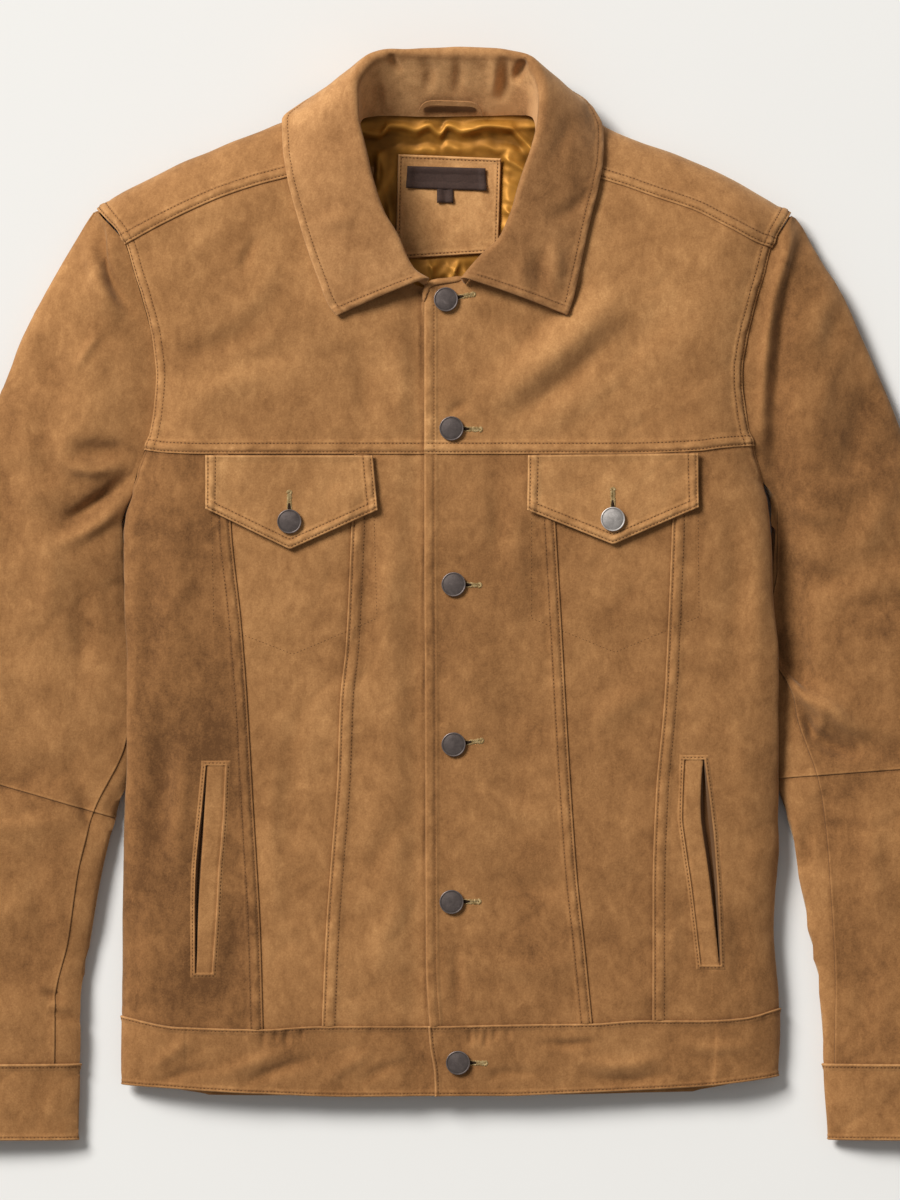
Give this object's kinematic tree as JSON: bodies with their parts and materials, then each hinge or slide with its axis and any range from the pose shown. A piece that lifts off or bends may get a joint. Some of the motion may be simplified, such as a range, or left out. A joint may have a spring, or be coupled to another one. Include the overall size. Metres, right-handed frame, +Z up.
{
  "type": "suede trucker jacket, laid flat",
  "caption": "Tan suede trucker jacket laid flat on its back, buttoned, with a turned-down collar, chest flap pockets, welt pockets and gold lining in the neck.",
  "frame": {"origin": "on the surface it lies on, under the middle of the jacket's bounding box", "axes": "+Z up from the surface, +Y towards the collar, +X towards the wearer's left side, which is to the right seen from above"},
  "size_m": [0.7735, 0.7666, 0.055],
  "materials": {
    "suede": "matte nap",
    "collar_suede": "matte nap, a little darker",
    "satin_lining": "gold satin",
    "woven_label": "dark woven, bare",
    "button_metal": "dark antique metal"
  },
  "bodies": {
    "root": {"back_panel": "suede", "back_yoke": "suede", "button_flap_L": "button_metal", "button_flap_R": "button_metal", "button_front_1": "button_metal", "button_front_2": "button_metal", "button_front_3": "button_metal", "button_front_4": "button_metal", "button_front_5": "button_metal", "button_front_6": "button_metal", "collar": "collar_suede", "cuff_L": "suede", "cuff_R": "suede", "flap_L": "suede", "flap_R": "suede", "front_centre_L": "suede", "front_centre_R": "suede", "front_side_L": "suede", "front_side_R": "suede", "front_vee_L": "suede", "front_vee_R": "suede", "front_yoke_L": "suede", "front_yoke_R": "suede", "hanger_loop": "collar_suede", "hem_back": "suede", "hem_front_L": "suede", "hem_front_R": "suede", "label_patch": "suede", "lining_back": "satin_lining", "size_tag": "woven_label", "sleeve_lower_L": "suede", "sleeve_lower_R": "suede", "sleeve_lower_under_L": "suede", "sleeve_lower_under_R": "suede", "sleeve_upper_L": "suede", "sleeve_upper_R": "suede", "sleeve_upper_under_L": "suede", "sleeve_upper_under_R": "suede", "welt_L": "suede", "welt_R": "suede", "woven_label": "woven_label"}
  },
  "joints": []
}
